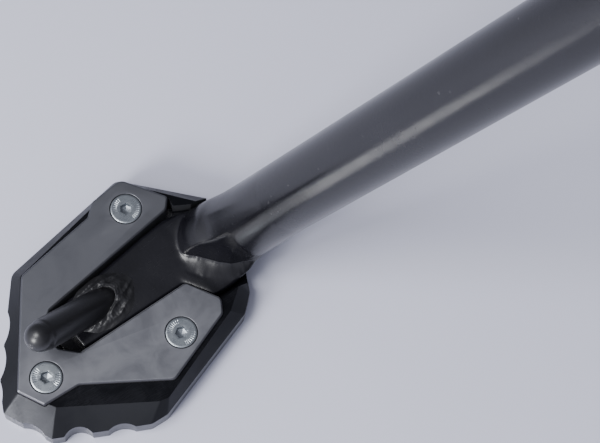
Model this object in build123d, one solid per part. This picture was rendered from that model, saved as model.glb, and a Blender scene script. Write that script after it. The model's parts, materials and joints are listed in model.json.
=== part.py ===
from build123d import *
import os
from math import asin, cos, degrees, hypot, radians, sin

os.makedirs("parts", exist_ok=True)

# Motorcycle kickstand, in millimetres and degrees.
# Row frame: +X forward, +Y outboard, +Z up. The origin is the centre of the four
# frame bolts, on the bracket's mounting face. The stand is modelled deployed.

# ---------------------------------------------------------------- stance
TILT = 24.0              # pivot axis out of level, so the leg splays outboard
LEAN = 14.0              # leg forward of square when deployed
SWING = 105.0            # travel from deployed to folded
PIVOT = (0.0, 48.0, -70.0)
GROUND_Z = -360.0        # the plane that the foot rests on
PAD_TOP = 16.0           # top of the clamp plate above the ground
PAD_TURN = 8.0           # turn of the foot about the vertical

# ---------------------------------------------------------------- bracket
PLATE_X, PLATE_Z, PLATE_T = 80.0, 58.0, 8.0
BOLT_X, BOLT_Z, BOLT_HOLE_R = 58.0, 36.0, 5.25
PLATE_CORNER_R = 9.0
ARM_UP, ARM_LOW = -4.0, -25.0    # edges of the arm where it leaves the plate
ARM_BACK, ARM_FRONT = -19.0, 19.0
ARM_TOP = 27.0           # height above the pivot where the tongue meets the arm
RIB_T, RIB_X, RIB_UP = 6.0, 14.0, 22.0
RIB_TOE = ((-3.0, 5.0), (-9.0, 0.0))     # a rib's outboard end, from the arm's upper corner
SINK = 1.0               # how far one welded part runs into the next
TONGUE_T = 12.0
TONGUE_R = 17.0
EAR_X, EAR_Z = 30.0, 21.5        # ear that holds the rest bumper, behind the pivot
TONGUE = (
    (-TONGUE_R, 0), (-TONGUE_R, 17), (-24, EAR_Z), (-38, EAR_Z), (-38, 31), (-24, 36),
    (28, 36), (28, 16), (TONGUE_R, 10), (TONGUE_R, 0),
)
BUMPER_R, BUMPER_H, BUMPER_ROUND = 5.6, 7.0, 1.2
STEM_R, STEM_L = 3.0, 6.0

# ---------------------------------------------------------------- pivot
BOLT_R = 6.0             # pivot bolt shank
THREAD_R = 5.0
RUNNING = 0.05           # radial clearance of the running fits
BUSH_R = 8.0
FLANGE_R, FLANGE_T = 9.4, 1.0
SEAL_IN_R, SEAL_OUT_R = 9.8, 12.2
BOLT_BORE_R = 2.5        # blind bore in the bolt's end, for the switch screw
THREAD_PROUD = 2.6
END_GAP = 3.2            # from the nut to the switch rotor
HEX_AF, HEX_CHAMFER = 17.0, 0.7
HEAD_FLANGE_R, HEAD_FLANGE_T, HEAD_H = 10.5, 1.6, 7.4
NUT_H = 8.0

# ---------------------------------------------------------------- side-stand switch
ROTOR_T, SWITCH_GAP, STATOR_T = 3.0, 0.3, 7.5
SWITCH_R = 17.0
ROTOR_R, ROTOR_HOLE_R = 16.0, 3.3
FINGER_R, FINGER_Z = 2.5, -13.2
SWITCH_ARM = ((-5, 8), (5, 8), (6, 36), (-6, 36))
SWITCH_ARM_T = 4.0
SWITCH_SCREW_R, SWITCH_THREAD_R, SWITCH_THREAD_L = 2.95, 2.45, 9.0
SWITCH_HEAD_R, SWITCH_HEAD_H = 5.2, 3.4
SWITCH_PIN_R, SWITCH_PIN_Z = 3.0, 31.0
GLAND_R, GLAND_L, WIRE_R = 3.6, 25.0, 2.2

# ---------------------------------------------------------------- leg
SIDE_GAP = 0.1           # side play of the fork on the bush flanges
CHEEK_T = 8.0
CHEEK_R = 16.0
YOKE_IN, YOKE_OUT = 22.0, 38.0   # the fork's web, down the leg from the pivot
YOKE_X, YOKE_ROUND = 13.5, 4.0
SPIGOT_R, SPIGOT_L = 10.4, 16.0
TUBE_R, TUBE_BORE_R = 13.6, 10.6
FORK_BEAD_R = 1.7
STOP_GAP = 0.3           # clearance left at the hard stops
STOP_X = YOKE_X + STOP_GAP
STOP_HORN = ((STOP_X, -30), (23, -30), (26, -4), (20, 8), (4, 2), (STOP_X, -12))
PRESS_L = 34.0           # length of tube, above the clamp plate's top, that is pressed out of round
BORE_STOP = 6.0
# the flattened part's ovals: centre, turn from the leg towards the toe, half width, half depth
FLATTENED = (
    ((-1.5, 1.5, 22.0), 0.2, 15.4, 9.6),
    ((0.4, 10.0, 13.8), 0.55, 17.4, 5.2),
    ((2.2, 19.5, 10.1), 1.0, 18.8, 2.9),
)
# level slices of the round nose that bulges over the toe: centre, radius
NOSE = ((-0.6, 2.4, 19.0, 14.6), (2.1, 7.2, 13.0, 15.0))
TOE = ((-15.5, 17), (-15.3, 20.0), (-4.1, 28.6), (0.0, 73.4), (18.5, 73.4), (21.4, 17))
TOE_ROUND = 1.6

# ---------------------------------------------------------------- springs
POST_UP = 30.0           # bracket post from the pivot
POST_DOWN = 90.0         # leg post from the pivot
POST_R, POST_SHOULDER_R, POST_HEAD_R, POST_HEAD_T = 4.0, 6.0, 7.0, 3.0
GROOVE = 8.2             # length of the groove that holds both springs' hooks
COLLAR_R, COLLAR_TOP_R, COLLAR_H = 9.0, 6.6, 4.0
SPRING_PLANE = -33.0     # across the pivot axis, inboard of the bolt head
OUTER_WIRE_R, OUTER_COIL_R = 1.6, 7.0
INNER_WIRE_R, INNER_COIL_R = 1.0, 3.7
OUTER_HOOK, INNER_HOOK = 2.0, -2.4   # hook planes either side of the spring plane
HOOK_GAP = 0.35
COIL_CLEAR = 19.0        # from a post's axis to the first coil
INNER_SHORT = 5.0        # the inner coil is shorter by this much at each end
SHANK_SHARE = 0.93       # straight part of a hook against the spring's wire

# ---------------------------------------------------------------- foot
FLOOR_Z = 3.0            # pocket floor under the stock foot
SHELF_Z = 7.0            # top of the stock foot, and the recess under the clamp
TOE_TOP = 13.0
WALL_Z, RIM_Z = 9.0, 14.5
CLAMP_EDGE = 0.6
POCKET_GAP = 0.3
CLAMP_GAP = 0.15
SCREW_R, SCREW_HEAD_R, SCREW_END_Z = 3.0, 6.0, 2.5
SINK_GAP, SINK_LAND = 0.25, 0.5
HEAD_RIM, HEAD_CONE = 0.3, 3.05
SOCKET_AF, SOCKET_DEPTH = 4.0, 2.6
SCREWS = ((32.6, 27.0), (-19.3, 42.2), (-0.6, 91.7))
SCREW_HOLE_GAP = 0.2
PEG_R, DOME_R, PEG_L, PEG_ROOT_L = 6.1, 5.6, 36.7, 12.0
BEAD_R, BEAD_END = 0.6, 71.0     # toe-to-foot fillet welds
BEADS = ((-3.8, -0.1, 32.0), (20.9, 18.6, 26.0))
MOUND_X, MOUND_Y, MOUND_R, MOUND_TOP_R, MOUND_H = 9.8, 57.4, 9.8, 7.0, 4.6
PEG_ROOT = (10.0, 59.3, TOE_TOP)
PEG_AIM = (-0.068, 0.741, 0.668)

# ---------------------------------------------------------------- derived
ACROSS = Vector(0, cos(radians(TILT)), sin(radians(TILT)))       # the pivot axis
TILT_FRAME = Plane(origin=PIVOT, x_dir=(1, 0, 0), z_dir=(0, -ACROSS.Z, ACROSS.Y))
DOWN_LEG = Vector(
    sin(radians(LEAN)),
    cos(radians(LEAN)) * sin(radians(TILT)),
    -cos(radians(LEAN)) * cos(radians(TILT)),
)
LEG_FRAME = Plane(origin=PIVOT, x_dir=ACROSS.cross(DOWN_LEG * -1), z_dir=DOWN_LEG * -1)
LEG_LENGTH = (PIVOT[2] - GROUND_Z - PAD_TOP) / -DOWN_LEG.Z
FOOT = Vector(*PIVOT) + DOWN_LEG * LEG_LENGTH
PAD_FRAME = Plane(
    origin=(FOOT.X, FOOT.Y, GROUND_Z),
    x_dir=(cos(radians(PAD_TURN)), sin(radians(PAD_TURN)), 0),
    z_dir=(0, 0, 1),
)
CHEEK_IN = TONGUE_T / 2 + FLANGE_T + SIDE_GAP
CHEEK_OUT = CHEEK_IN + CHEEK_T
SWITCH_IN = CHEEK_OUT + SIDE_GAP + NUT_H + END_GAP   # inboard face of the rotor
MID_SWING = radians(LEAN - SWING / 2)
POST_X, POST_Z = -POST_UP * sin(MID_SWING), POST_UP * cos(MID_SWING)
LEG_POST_X = POST_DOWN * sin(radians(LEAN))
LEG_POST_Z = -POST_DOWN * cos(radians(LEAN))
SPRING_LENGTH = hypot(LEG_POST_X - POST_X, LEG_POST_Z - POST_Z)
ON_BASE = (Align.CENTER, Align.CENTER, Align.MIN)


def slab(face, low, high):
    """Sketch in x and z, made solid from low to high across the pivot axis."""
    return extrude(Plane.XZ.offset(-high) * face, amount=high - low)


def rod(radius, low, high, x=0.0, z=0.0):
    """Round bar across the pivot axis."""
    return slab(Pos(x, z) * Circle(radius), low, high)


def upright(face, low, high):
    """Sketch in x and y, made solid from low to high."""
    return extrude(Plane.XY.offset(low) * face, amount=high - low)


def standing(solid, z=0.0, x=0.0, y=0.0):
    """Solid of revolution, made with ON_BASE, set with its lower end at z."""
    return Pos(x, y, z) * solid


def polygon(corners):
    return make_face(Polyline(*corners, close=True))


def shape(corners, radii):
    """Closed outline with every corner rounded."""
    return make_face(FilletPolyline(*corners, radius=radii, close=True))


def save(node, part, frame=None):
    """Write one sub-part, placed from its own frame into the row frame."""
    placed = frame * part if frame else part
    export_step(placed, f"parts/{node}.step")


# ================================================================= bracket
def frame_bracket():
    plate_face = RectangleRounded(PLATE_X, PLATE_Z, PLATE_CORNER_R)
    holes = GridLocations(BOLT_X, BOLT_Z, 2, 2) * Circle(BOLT_HOLE_R)
    plate = slab(plate_face - holes, 0, PLATE_T)

    # the arm reaches outboard and down from the plate to the tongue
    half = TONGUE_T / 2
    outer = TILT_FRAME.from_local_coords(Vector(0, half, ARM_TOP))
    inner = TILT_FRAME.from_local_coords(Vector(0, -half, ARM_TOP))
    arm_face = make_face(
        Polyline(
            (SINK, ARM_UP), (PLATE_T, ARM_UP), (outer.Y, outer.Z), (inner.Y, inner.Z),
            (PLATE_T, ARM_LOW), (SINK, ARM_LOW), close=True,
        )
    )
    arm = extrude(Plane.YZ.offset(ARM_BACK) * arm_face, amount=ARM_FRONT - ARM_BACK)
    rib_toe = [(outer.Y + y, outer.Z + z) for y, z in RIB_TOE]
    rib_face = make_face(
        Polyline(
            (SINK, RIB_UP), (PLATE_T, RIB_UP), *rib_toe, (PLATE_T / 2, 2 * ARM_UP), close=True,
        )
    )
    ribs = [extrude(Plane.YZ.offset(side * RIB_X - RIB_T / 2) * rib_face, amount=RIB_T) for side in (-1, 1)]

    # the tongue carries the pivot, the deployed stop and the bumper ear
    tongue = slab(polygon(TONGUE) + Circle(TONGUE_R), -half, half)
    horn = slab(polygon(STOP_HORN), -half, half)
    pin_end = SWITCH_IN + ROTOR_T + SWITCH_GAP + SWITCH_ARM_T - SINK
    locating_pin = rod(SWITCH_PIN_R, half, pin_end, 0, SWITCH_PIN_Z)
    body = plate + arm + ribs[0] + ribs[1]
    body += TILT_FRAME * tongue + LEG_FRAME * horn + TILT_FRAME * locating_pin
    body -= TILT_FRAME * rod(BUSH_R, -CHEEK_OUT, CHEEK_OUT)
    body -= TILT_FRAME * rod(POST_R, -2 * half, 2 * half, POST_X, POST_Z)
    body -= TILT_FRAME * rod(POST_SHOULDER_R + 1, -4 * half, -half, POST_X, POST_Z)
    body -= TILT_FRAME * standing(Cylinder(STEM_R, STEM_L, align=ON_BASE), EAR_Z, -EAR_X)
    return body


def rest_bumper():
    head = standing(Cylinder(BUMPER_R, BUMPER_H, align=ON_BASE), EAR_Z - BUMPER_H, -EAR_X)
    head = fillet(head.edges().group_by(Axis.Z)[0], BUMPER_ROUND)
    return head + standing(Cylinder(STEM_R, STEM_L, align=ON_BASE), EAR_Z, -EAR_X)


# ================================================================= pivot
def pivot_bushes():
    bushes = []
    for side in (-1, 1):
        body = rod(BUSH_R, 0.5, TONGUE_T / 2) + rod(FLANGE_R, TONGUE_T / 2, TONGUE_T / 2 + FLANGE_T)
        body -= rod(BOLT_R + RUNNING, -1, CHEEK_IN)
        bushes.append(body if side > 0 else mirror(body, Plane.XZ))
    return bushes


def pivot_seals():
    ring = rod(SEAL_OUT_R, TONGUE_T / 2, TONGUE_T / 2 + FLANGE_T)
    ring -= rod(SEAL_IN_R, TONGUE_T / 2 - 1, CHEEK_IN)
    return [ring, mirror(ring, Plane.XZ)]


def hexagon(across_flats):
    return RegularPolygon(across_flats / 2, 6, major_radius=False)


def pivot_bolt():
    face = -CHEEK_OUT - SIDE_GAP
    top = face - HEAD_H
    head = slab(hexagon(HEX_AF), top, face)
    head = chamfer(head.edges().group_by(Axis.Y)[0], HEX_CHAMFER)
    shoulder = CHEEK_OUT + SIDE_GAP
    body = head + rod(HEAD_FLANGE_R, face - HEAD_FLANGE_T, face)
    body += rod(BOLT_R, face, shoulder)
    end = shoulder + NUT_H + THREAD_PROUD
    body += rod(THREAD_R, shoulder, end)
    body -= rod(BOLT_BORE_R, end - SWITCH_THREAD_L - SINK, end + SINK)
    return body


def pivot_nut():
    face = CHEEK_OUT + SIDE_GAP
    nut = slab(hexagon(HEX_AF), face, face + NUT_H) + rod(HEAD_FLANGE_R, face, face + HEAD_FLANGE_T)
    nut = chamfer(nut.edges().group_by(Axis.Y)[-1], HEX_CHAMFER)
    return nut - rod(THREAD_R, face - SINK, face + NUT_H + SINK)


# ================================================================= side-stand switch
def switch_rotor():
    low, high = SWITCH_IN, SWITCH_IN + ROTOR_T
    disc = rod(ROTOR_R, low, high) - rod(ROTOR_HOLE_R, low - SINK, high + SINK)
    finger = rod(FINGER_R, CHEEK_OUT, low + SINK, 0, FINGER_Z)
    return disc + finger


def switch_body():
    low = SWITCH_IN + ROTOR_T + SWITCH_GAP
    high = low + STATOR_T
    case = rod(SWITCH_R, low, high) + slab(polygon(SWITCH_ARM), low, low + SWITCH_ARM_T)
    case = fillet(case.faces().sort_by(Axis.Y)[-1].edges(), 1.5)
    # the gland is empty: the switch's cable leaves through it
    gland_plane = Plane(origin=(0, low + STATOR_T / 2, 0), z_dir=(-0.9, 0, 0.44))
    gland = gland_plane * Cylinder(GLAND_R, GLAND_L, align=ON_BASE)
    wire_hole = gland_plane * standing(Cylinder(WIRE_R, GLAND_L, align=ON_BASE), SWITCH_R + 2)
    case = case + gland - wire_hole
    hole_r = SWITCH_PIN_R + RUNNING
    return case - rod(hole_r, low - SINK, high + SINK) - rod(hole_r, low - SINK, high, 0, SWITCH_PIN_Z)


def switch_screw():
    face = SWITCH_IN + ROTOR_T + SWITCH_GAP + STATOR_T
    head = rod(SWITCH_HEAD_R, face, face + SWITCH_HEAD_H)
    head = fillet(head.edges().group_by(Axis.Y)[-1], SWITCH_HEAD_H * 0.4)
    socket = slab(hexagon(SOCKET_AF), face + SWITCH_HEAD_H * 0.35, face + SWITCH_HEAD_H + SINK)
    shank = rod(SWITCH_SCREW_R, SWITCH_IN, face)
    thread = rod(SWITCH_THREAD_R, SWITCH_IN - SWITCH_THREAD_L, SWITCH_IN)
    return head + shank + thread - socket


# ================================================================= leg
def leg_fork():
    web_mid = -(YOKE_IN + YOKE_OUT) / 2
    taper = polygon(((-CHEEK_R, 0), (CHEEK_R, 0), (YOKE_X, web_mid), (-YOKE_X, web_mid)))
    cheek = slab(Circle(CHEEK_R) + taper, CHEEK_IN, CHEEK_OUT)
    web = Pos(0, 0, web_mid) * Box(2 * YOKE_X, 2 * CHEEK_OUT, YOKE_OUT - YOKE_IN)
    web = fillet(web.edges().filter_by(Axis.Z), YOKE_ROUND)
    spigot = standing(Cylinder(SPIGOT_R, SPIGOT_L, align=ON_BASE), -YOKE_OUT - SPIGOT_L)
    fork = cheek + mirror(cheek, Plane.XZ) + web + spigot
    return fork - rod(BOLT_R + RUNNING, -2 * CHEEK_OUT, 2 * CHEEK_OUT)


def fork_weld():
    ring = Pos(0, 0, -YOKE_OUT) * Torus(TUBE_R + 0.2, FORK_BEAD_R)
    return ring - standing(Cylinder(TUBE_R, YOKE_OUT, align=ON_BASE), -2 * YOKE_OUT) - leg_fork()


def section(centre, turn, half_width, half_depth):
    """One oval section of the pressed tube; turn 0 is down the leg, 1 along the toe."""
    down = PAD_FRAME.to_local_coords(FOOT + DOWN_LEG) - PAD_FRAME.to_local_coords(FOOT)
    along = down * (1 - turn) + Vector(0, 1, 0) * turn
    plane = Plane(origin=centre, x_dir=Vector(1, 0, 0) - along * (along.X / along.dot(along)), z_dir=along)
    return plane * Ellipse(half_width, half_depth)


def leg_tube():
    """Round tube whose end is pressed flat and bent to lie on the foot."""
    press_end = LEG_LENGTH - PRESS_L
    tube = standing(Cylinder(TUBE_R, press_end - YOKE_OUT, align=ON_BASE), -press_end)
    bore = standing(Cylinder(TUBE_BORE_R, press_end, align=ON_BASE), BORE_STOP - press_end)
    start = PAD_FRAME.to_local_coords(FOOT - DOWN_LEG * PRESS_L)
    middle = PAD_FRAME.to_local_coords(FOOT - DOWN_LEG * PRESS_L / 2)
    round_end = [section(start, 0.0, TUBE_R, TUBE_R)]
    ovals = [section(middle, 0.05, TUBE_R, TUBE_R - 0.6), *[section(*oval) for oval in FLATTENED]]
    press = loft([*round_end, *ovals])
    slices = [Plane(origin=(x, y, z), x_dir=(1, 0, 0), z_dir=(0, 0, -1)) * Circle(r) for x, y, z, r in NOSE]
    nose_x, nose_y, nose_z, nose_r = NOSE[-1]
    nose = loft([*round_end, *slices]) + upright(Pos(nose_x, nose_y) * Circle(nose_r), SHELF_Z, nose_z)
    toe = upright(polygon(TOE), SHELF_Z, TOE_TOP)
    toe = fillet(toe.edges().group_by(Axis.Z)[-1], TOE_ROUND)
    return LEG_FRAME * (tube - bore) + PAD_FRAME * (press + nose + toe)


def spring_post(foot_level):
    """Grooved pin that both springs hook on, from its foot to its head."""
    hook_top = SPRING_PLANE + GROOVE / 2
    hook_end = SPRING_PLANE - GROOVE / 2
    pin = rod(POST_SHOULDER_R, hook_top, foot_level) + rod(POST_R, hook_end, hook_top)
    head = rod(POST_HEAD_R, hook_end - POST_HEAD_T, hook_end)
    return pin + fillet(head.edges().group_by(Axis.Y)[0], POST_HEAD_T / 3)


def bracket_spring_post():
    post = spring_post(-TONGUE_T / 2) + rod(POST_R, -TONGUE_T / 2, TONGUE_T / 2 + SINK)
    return Pos(POST_X, 0, POST_Z) * post


def leg_spring_post():
    post = spring_post(-TUBE_R + 2 * SINK) - Cylinder(TUBE_R, 2 * TUBE_R)
    return Pos(0, 0, -POST_DOWN) * post


def spring_post_weld():
    face = Plane(origin=(0, SINK - TUBE_R, 0), z_dir=(0, -1, 0))
    collar = face * Cone(COLLAR_R, COLLAR_TOP_R, COLLAR_H, align=ON_BASE)
    collar -= Cylinder(TUBE_R, 2 * TUBE_R)
    collar -= rod(POST_SHOULDER_R, SPRING_PLANE, 0)
    return Pos(0, 0, -POST_DOWN) * collar


# ================================================================= springs
def coil_spring(wire_r, coil_r, hook, coil_clear):
    """One tension spring, hanging down from the bracket post's axis."""
    coil = Cylinder(coil_r + wire_r, SPRING_LENGTH - 2 * coil_clear)
    coil -= Cylinder(coil_r - wire_r, SPRING_LENGTH)
    body = Pos(0, SPRING_PLANE, -SPRING_LENGTH / 2) * coil
    side = 1 if hook > 0 else -1
    eye_r = POST_R + HOOK_GAP + wire_r
    knee = coil_clear + wire_r / 2
    near, far = sorted((SPRING_PLANE + hook, SPRING_PLANE + side * (coil_r + wire_r / 2)))
    for end, level in ((0.0, -1), (-SPRING_LENGTH, 1)):
        eye = Plane(origin=(0, SPRING_PLANE + hook, end), z_dir=(0, 1, 0)) * Torus(eye_r, wire_r)
        middle = end + level * (eye_r + knee) / 2
        shank = Pos(0, SPRING_PLANE + hook, middle) * Cylinder(SHANK_SHARE * wire_r, knee - eye_r)
        body += eye + shank + rod(wire_r, near, far, 0, end + level * knee)
    return body


def spring_frame():
    """The springs' line at rest: from the bracket post towards the leg post."""
    top = TILT_FRAME.from_local_coords(Vector(POST_X, 0, POST_Z))
    low = TILT_FRAME.from_local_coords(Vector(LEG_POST_X, 0, LEG_POST_Z))
    up_line = (top - low).normalized()
    return Plane(origin=top, x_dir=ACROSS.cross(up_line), z_dir=up_line)


# ================================================================= foot
OUTLINE = (
    (46.2, 21.0), (41.4, 76.2), (9.8, 106.1), (0.4, 111.6), (-18.8, 103.8), (-38.2, 72.0),
    (-39.1, 65.2), (-27.8, 17.5), (-22.4, 10.4), (-3.0, -1.4), (15.0, -4.0),
)
OUTLINE_R = (4.0, 5.0, 2.0, 1.5, 1.0, 4.0, 3.0, 3.0, 3.0, 3.0, 4.0)
TOP_FLAT = (
    (43.4, 22.0), (37.1, 74.8), (9.0, 97.4), (1.8, 103.2), (-11.6, 95.8), (-34.4, 65.0),
    (-35.4, 61.5), (-24.4, 22.0), (-18.4, 12.6), (-1.6, 3.2), (13.8, 0.6),
)
TOP_FLAT_R = (3.4, 3.0, 1.5, 1.5, 1.0, 1.5, 1.5, 2.5, 3.0, 3.0, 3.0)
EDGE_SCALLOPS, EDGE_PLAIN, EDGE_PITCH = 3, 14.4, 13.6
EDGE_SCALLOP_R, EDGE_BITE = 14.0, 1.5
LOW_SCALLOPS = ((-14.6, 114.5, 9.6), (-27.2, 97.5, 6.6), (-38.9, 85.5, 9.2))
CLAMP = (
    (43.6, 21.1), (43.2, 35.2), (39.3, 40.6), (36.8, 74.6), (2.0, 103.4), (-8.6, 98.8),
    (-10.6, 84.0), (-31.9, 55.6), (-23.6, 25.2), (-18.6, 21.6), (-5.0, 28.2), (-0.9, 76.0),
    (5.4, 81.4), (14.5, 81.4), (19.2, 74.5), (22.6, 15.0), (26.3, 11.2),
)
CLAMP_R = (4.0, 1.6, 2.0, 4.0, 1.5, 1.2, 3.0, 2.5, 3.0, 3.0, 2.0, 1.5, 2.0, 3.0, 2.0, 3.0, 1.5)
CHANNEL = ((-19.0, -10), (-19.0, 24), (24, 24), (22.5, 12), (18.5, 6), (17.5, -10))
STOCK_FOOT_R = 6.0
STOCK_FOOT = (
    (25.5, 12.0), (26.0, 60.0), (18.0, 79.2), (0.0, 79.2), (-8.0, 60.0), (-12.0, 12.0), (-5.0, -5.5),
    (10.0, -5.5),
)


def grow(face, amount):
    return offset(face, amount=amount, kind=Kind.INTERSECTION)


def base_plate():
    outline = shape(OUTLINE, OUTLINE_R)
    top_flat = shape(TOP_FLAT, TOP_FLAT_R)
    body = upright(outline, 0, WALL_Z)
    body += loft([Plane.XY.offset(WALL_Z) * outline, Plane.XY.offset(RIM_Z) * top_flat], ruled=True)
    # shallow scallops along the outboard front edge, then the larger ones at the rear
    start = Vector(*OUTLINE[1])
    run = (Vector(*OUTLINE[2]) - start).normalized()
    out = Vector(run.Y, -run.X)
    for index in range(EDGE_SCALLOPS):
        reach = EDGE_PLAIN + EDGE_PITCH * (index + 0.5)
        centre = start + run * reach + out * (EDGE_SCALLOP_R - EDGE_BITE)
        body -= upright(Pos(centre.X, centre.Y) * Circle(EDGE_SCALLOP_R), -1, PAD_TOP)
    for x, y, radius in LOW_SCALLOPS:
        body -= upright(Pos(x, y) * Circle(radius), -1, PAD_TOP)

    # recess for the clamp and the toe, and the deeper pocket for the stock foot
    clamp_hull = CLAMP[:10] + CLAMP[-1:]
    clamp_hull_r = CLAMP_R[:10] + CLAMP_R[-1:]
    body -= upright(grow(shape(clamp_hull, clamp_hull_r), CLAMP_GAP), SHELF_Z, PAD_TOP)
    body -= upright(polygon(CHANNEL), SHELF_Z, PAD_TOP)
    foot_face = shape(STOCK_FOOT, STOCK_FOOT_R)
    body -= upright(grow(foot_face, POCKET_GAP), FLOOR_Z, SHELF_Z + 1)
    for x, y in SCREWS:
        body -= Pos(x, y, SHELF_Z / 2) * Cylinder(SCREW_R, SHELF_Z + 2)
    return body


def clamp_plate():
    body = upright(shape(CLAMP, CLAMP_R), SHELF_Z, PAD_TOP)
    body = chamfer(body.faces().sort_by(Axis.Z)[-1].edges(), CLAMP_EDGE)
    sink = SCREW_HEAD_R + SINK_GAP
    for x, y in SCREWS:
        body -= upright(Pos(x, y) * Circle(sink), PAD_TOP - SINK_LAND, PAD_TOP)
        body -= Pos(x, y, PAD_TOP - SINK_LAND - sink / 2) * Cone(0.01, sink, sink)
        body -= upright(Pos(x, y) * Circle(SCREW_R + SCREW_HOLE_GAP), 0, PAD_TOP)
    return body


def stock_foot():
    return upright(shape(STOCK_FOOT, STOCK_FOOT_R), FLOOR_Z, SHELF_Z)


def stock_foot_weld():
    """Fillet along both sides of the toe, where it is welded to the stock foot."""
    above_foot = upright(Rectangle(4 * BEAD_END, 4 * BEAD_END), SHELF_Z, PAD_TOP)
    toe = upright(polygon(TOE), SHELF_Z, TOE_TOP)
    beads = []
    for side_x, end_x, first_y in BEADS:
        start, end = Vector(side_x, first_y, SHELF_Z), Vector(end_x, BEAD_END, SHELF_Z)
        line = Edge.make_line(start, end)
        bead = sweep(Plane(origin=start, z_dir=end - start) * Circle(BEAD_R), path=line)
        beads.append((bead & above_foot) - toe)
    return beads


def clamp_screws():
    screws = []
    for x, y in SCREWS:
        rim_z = PAD_TOP - RUNNING - HEAD_RIM
        head = upright(Circle(SCREW_HEAD_R), rim_z, rim_z + HEAD_RIM)
        cone = standing(Cone(SCREW_R - RUNNING, SCREW_HEAD_R, HEAD_CONE, align=ON_BASE), rim_z - HEAD_CONE)
        shank = upright(Circle(SCREW_R - RUNNING), SCREW_END_Z, rim_z - HEAD_CONE)
        socket = upright(hexagon(SOCKET_AF), PAD_TOP - SOCKET_DEPTH, PAD_TOP + SINK)
        screws.append(Pos(x, y) * (head + cone + shank - socket))
    return screws


def peg_plane():
    return Plane(origin=PEG_ROOT, x_dir=(1, 0, 0.1), z_dir=PEG_AIM)


def foot_peg():
    stock = standing(Cylinder(PEG_R, PEG_L + PEG_ROOT_L - 1, align=ON_BASE), -PEG_ROOT_L)
    stock += standing(Cone(PEG_R, DOME_R, 1.5, align=ON_BASE), PEG_L - 1)
    stock += Pos(0, 0, PEG_L) * Sphere(DOME_R)
    above_toe = upright(Rectangle(4 * BEAD_END, 4 * BEAD_END), TOE_TOP, 4 * PAD_TOP)
    return (peg_plane() * stock) & above_toe


def peg_weld():
    mound = standing(Cone(MOUND_R, MOUND_TOP_R, MOUND_H, align=ON_BASE), TOE_TOP, MOUND_X, MOUND_Y)
    return mound - peg_plane() * standing(Cylinder(PEG_R, PEG_L + PEG_ROOT_L, align=ON_BASE), -PEG_ROOT_L)


# frame bracket and everything fixed to it
save("frame_bracket", frame_bracket())
save("rest_bumper", rest_bumper(), TILT_FRAME)
save("bracket_spring_post", bracket_spring_post(), TILT_FRAME)
save("pivot_bushes", Compound(pivot_bushes()), TILT_FRAME)
save("pivot_seals", Compound(pivot_seals()), TILT_FRAME)
save("pivot_bolt", pivot_bolt(), TILT_FRAME)
save("pivot_nut", pivot_nut(), TILT_FRAME)
save("switch_body", switch_body(), TILT_FRAME)
save("switch_screw", switch_screw(), TILT_FRAME)

# swinging leg and foot
save("leg_fork", leg_fork(), LEG_FRAME)
save("fork_weld", fork_weld(), LEG_FRAME)
save("leg_tube", leg_tube())
save("switch_rotor", switch_rotor(), LEG_FRAME)
save("leg_spring_post", leg_spring_post(), LEG_FRAME)
save("spring_post_weld", spring_post_weld(), LEG_FRAME)
save("stock_foot", stock_foot(), PAD_FRAME)
save("stock_foot_weld", Compound(stock_foot_weld()), PAD_FRAME)
save("foot_peg", foot_peg(), PAD_FRAME)
save("peg_weld", peg_weld(), PAD_FRAME)
save("base_plate", base_plate(), PAD_FRAME)
save("clamp_plate", clamp_plate(), PAD_FRAME)
save("clamp_screws", Compound(clamp_screws()), PAD_FRAME)

# springs
save("outer_spring", coil_spring(OUTER_WIRE_R, OUTER_COIL_R, OUTER_HOOK, COIL_CLEAR), spring_frame())
save(
    "inner_spring",
    coil_spring(INNER_WIRE_R, INNER_COIL_R, INNER_HOOK, COIL_CLEAR + INNER_SHORT),
    spring_frame(),
)

print("leg length", round(LEG_LENGTH, 2), "foot", FOOT, "pad frame origin", PAD_FRAME.origin)
print("spring length", round(SPRING_LENGTH, 3), "bracket post", spring_frame().origin)
print("pivot axis", ACROSS)
half_swing = radians(SWING / 2)
swing_share = 2 * degrees(asin(POST_DOWN * sin(half_swing) / SPRING_LENGTH)) / SWING
print("spring turn per leg turn", round(swing_share, 5))
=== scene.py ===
import json
import math

import bmesh
import bpy
from mathutils import Matrix, Vector, noise


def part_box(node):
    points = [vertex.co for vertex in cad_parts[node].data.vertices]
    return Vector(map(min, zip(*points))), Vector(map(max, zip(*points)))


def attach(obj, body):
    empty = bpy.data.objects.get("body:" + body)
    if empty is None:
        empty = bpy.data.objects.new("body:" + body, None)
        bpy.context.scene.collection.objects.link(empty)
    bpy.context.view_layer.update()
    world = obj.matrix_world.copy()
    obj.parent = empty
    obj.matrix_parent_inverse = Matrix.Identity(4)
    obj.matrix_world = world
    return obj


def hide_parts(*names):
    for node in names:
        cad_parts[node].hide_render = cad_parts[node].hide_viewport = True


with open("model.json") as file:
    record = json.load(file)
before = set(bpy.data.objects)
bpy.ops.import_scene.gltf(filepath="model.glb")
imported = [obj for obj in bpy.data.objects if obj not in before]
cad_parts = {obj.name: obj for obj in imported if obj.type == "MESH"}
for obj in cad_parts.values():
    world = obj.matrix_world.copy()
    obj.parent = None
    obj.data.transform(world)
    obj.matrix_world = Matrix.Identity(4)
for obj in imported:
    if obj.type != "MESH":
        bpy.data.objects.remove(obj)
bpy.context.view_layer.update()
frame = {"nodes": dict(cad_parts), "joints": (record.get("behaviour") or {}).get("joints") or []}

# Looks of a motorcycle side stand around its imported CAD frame.
# Lengths in the local frames below are millimetres; the frames turn them into metres.

MM = 0.001

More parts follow.
